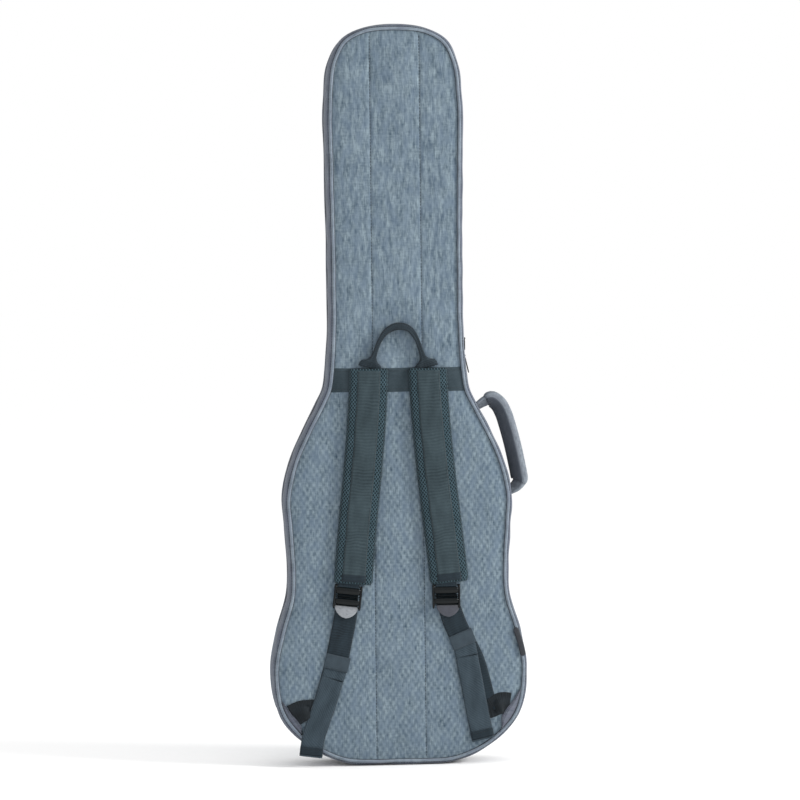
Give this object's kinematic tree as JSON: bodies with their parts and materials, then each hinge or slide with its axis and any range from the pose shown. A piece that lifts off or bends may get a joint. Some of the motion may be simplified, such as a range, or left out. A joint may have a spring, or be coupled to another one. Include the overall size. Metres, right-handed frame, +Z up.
{
  "type": "padded gig bag",
  "caption": "Padded soft case for an electric bass with a hinged zipped lid, two shoulder straps with ladder-lock buckles, a haul loop, a side handle and front pockets.",
  "frame": {"origin": "middle of the flat base that the bag stands on, halfway between the front and back panel faces", "axes": "+Z up the neck, +X to the right seen from the strap side, -Y towards the wearer's back, +Y towards the pockets"},
  "size_m": [0.4362, 0.138, 1.24],
  "materials": {
    "shell_fabric": "heathered woven polyester, matt",
    "piping": "fabric-covered cord",
    "foam": "closed-cell foam",
    "plush": "brushed plush lining",
    "zip_tape": "woven tape",
    "zip_teeth": "moulded coil",
    "webbing": "ribbed polypropylene webbing",
    "mesh": "diamond mesh over foam",
    "elastic": "flat elastic",
    "buckle": "polished acetal",
    "label": "matt, blank",
    "slider": "black enamel",
    "pull": "matt"
  },
  "bodies": {
    "shell": {"back_panel": "shell_fabric", "back_foam": "foam", "back_lining": "plush", "back_piping": "piping", "gusset": "shell_fabric", "base_gusset": "shell_fabric", "base_gusset_foam": "foam", "left_gusset_foam": "foam", "right_gusset_foam": "foam", "left_neck_foam": "foam", "right_neck_foam": "foam", "top_gusset_foam": "foam", "gusset_lining": "plush", "rear_zip_tape": "zip_tape", "rear_zip_teeth": "zip_teeth", "side_hinge": "shell_fabric", "yoke_band": "webbing", "left_corner_patch": "shell_fabric", "right_corner_patch": "shell_fabric", "left_load_webbing": "webbing", "right_load_webbing": "webbing", "side_label": "label", "neck_rest": "plush", "strap_pin_pad": "plush", "side_handle_ends": "webbing"},
    "lid": {"front_panel": "shell_fabric", "lower_front_foam": "foam", "middle_front_foam": "foam", "upper_front_foam": "foam", "front_lining": "plush", "front_piping": "piping", "front_gusset": "shell_fabric", "front_zip_tape": "zip_tape", "front_zip_teeth": "zip_teeth", "lower_pocket_panel": "shell_fabric", "lower_pocket_gusset": "shell_fabric", "lower_pocket_zip": "zip_tape", "neck_pocket_panel": "shell_fabric", "neck_pocket_gusset": "shell_fabric", "neck_pocket_zip": "zip_tape"},
    "haul_loop": {"haul_loop": "webbing"},
    "side_handle": {"side_handle_grip": "shell_fabric"},
    "left_strap": {"left_strap_pad": "mesh", "left_strap_webbing": "webbing", "left_strap_end": "webbing"},
    "right_strap": {"right_strap_pad": "mesh", "right_strap_webbing": "webbing", "right_strap_end": "webbing"},
    "left_buckle": {"left_buckle": "buckle"},
    "right_buckle": {"right_buckle": "buckle"},
    "left_keeper": {"left_keeper": "elastic"},
    "right_keeper": {"right_keeper": "elastic"},
    "left_tail": {"left_tail": "webbing"},
    "right_tail": {"right_tail": "webbing"},
    "upper_slider": {"upper_slider": "slider"},
    "upper_pull": {"upper_pull": "pull"},
    "lower_slider": {"lower_slider": "slider"},
    "lower_pull": {"lower_pull": "pull"},
    "lower_pocket_slider": {"lower_pocket_slider": "slider"},
    "lower_pocket_pull": {"lower_pocket_pull": "pull"},
    "neck_pocket_slider": {"neck_pocket_slider": "slider"},
    "neck_pocket_pull": {"neck_pocket_pull": "pull"},
    "neck_strap": {"neck_strap": "webbing"}
  },
  "joints": [
    {"name": "lid_hinge", "type": "hinge", "parent": "shell", "child": "lid", "pos_m": [-0.216, 0.028, 0.165], "axis": [0, 0, 1], "range_deg": [0, 120]},
    {"name": "haul_loop_swing", "type": "hinge", "parent": "shell", "child": "haul_loop", "pos_m": [0, -0.0545, 0.6674], "axis": [1, 0, 0], "range_deg": [0, 85], "stiffness_Nm_per_rad": 0.05, "springref_deg": -5.73},
    {"name": "side_handle_swing", "type": "hinge", "parent": "shell", "child": "side_handle", "pos_m": [0.1443, -0.008, 0.6014], "axis": [0.3445, 0, -0.9388], "range_deg": [-25, 25], "stiffness_Nm_per_rad": 0.1},
    {"name": "left_strap_swing", "type": "hinge", "parent": "shell", "child": "left_strap", "pos_m": [-0.049, -0.0501, 0.667], "axis": [-1, 0, 0], "range_deg": [0, 20]},
    {"name": "right_strap_swing", "type": "hinge", "parent": "shell", "child": "right_strap", "pos_m": [0.05, -0.0501, 0.667], "axis": [-1, 0, 0], "range_deg": [0, 20]},
    {"name": "left_buckle_tilt", "type": "hinge", "parent": "left_strap", "child": "left_buckle", "pos_m": [-0.087, -0.0546, 0.299], "axis": [-0.9925, 0, 0.1219], "range_deg": [0, 30]},
    {"name": "right_buckle_tilt", "type": "hinge", "parent": "right_strap", "child": "right_buckle", "pos_m": [0.077, -0.0546, 0.298], "axis": [-1, 0, 0], "range_deg": [0, 30]},
    {"name": "left_keeper_slide", "type": "slide", "parent": "shell", "child": "left_keeper", "axis": [0.2032, 0, 0.9791], "range_m": [-0.008, 0.04]},
    {"name": "right_keeper_slide", "type": "slide", "parent": "shell", "child": "right_keeper", "axis": [-0.2983, 0, 0.9545], "range_m": [-0.008, 0.02]},
    {"name": "left_tail_swing", "type": "hinge", "parent": "shell", "child": "left_tail", "pos_m": [-0.115, -0.0514, 0.148], "axis": [-0.9503, 0, 0.3113], "range_deg": [0, 60]},
    {"name": "right_tail_swing", "type": "hinge", "parent": "shell", "child": "right_tail", "pos_m": [0.111, -0.0514, 0.182], "axis": [-0.9835, 0, -0.1808], "range_deg": [0, 60]},
    {"name": "upper_slider_travel", "type": "slide", "parent": "shell", "child": "upper_slider", "axis": [0, 0, 1], "range_m": [0, 0.36]},
    {"name": "upper_pull_swing", "type": "hinge", "parent": "upper_slider", "child": "upper_pull", "pos_m": [0.121, 0.028, 0.714], "axis": [0, -1, 0], "range_deg": [0, 140]},
    {"name": "lower_slider_travel", "type": "slide", "parent": "shell", "child": "lower_slider", "axis": [0.3505, 0, -0.9365], "range_m": [0, 0.22]},
    {"name": "lower_pull_swing", "type": "hinge", "parent": "lower_slider", "child": "lower_pull", "pos_m": [0.121, 0.028, 0.684], "axis": [0, -1, 0], "range_deg": [0, 90]},
    {"name": "lower_pocket_slider_travel", "type": "slide", "parent": "lid", "child": "lower_pocket_slider", "axis": [-1, 0, 0], "range_m": [0, 0.255]},
    {"name": "lower_pocket_pull_swing", "type": "hinge", "parent": "lower_pocket_slider", "child": "lower_pocket_pull", "pos_m": [0.128, 0.0761, 0.438], "axis": [1, 0, 0], "range_deg": [0, 140]},
    {"name": "neck_pocket_slider_travel", "type": "slide", "parent": "lid", "child": "neck_pocket_slider", "axis": [-1, 0, 0], "range_m": [0, 0.108]},
    {"name": "neck_pocket_pull_swing", "type": "hinge", "parent": "neck_pocket_slider", "child": "neck_pocket_pull", "pos_m": [0.054, 0.0681, 1.052], "axis": [1, 0, 0], "range_deg": [0, 140]},
    {"name": "neck_strap_swing", "type": "hinge", "parent": "shell", "child": "neck_strap", "pos_m": [-0.0625, -0.0015, 0.73], "axis": [0, 0, 1], "range_deg": [0, 110]}
  ],
  "couplings": [
    {"joint": "neck_strap_swing", "follows": "lid_hinge", "ratio": 0.9}
  ]
}
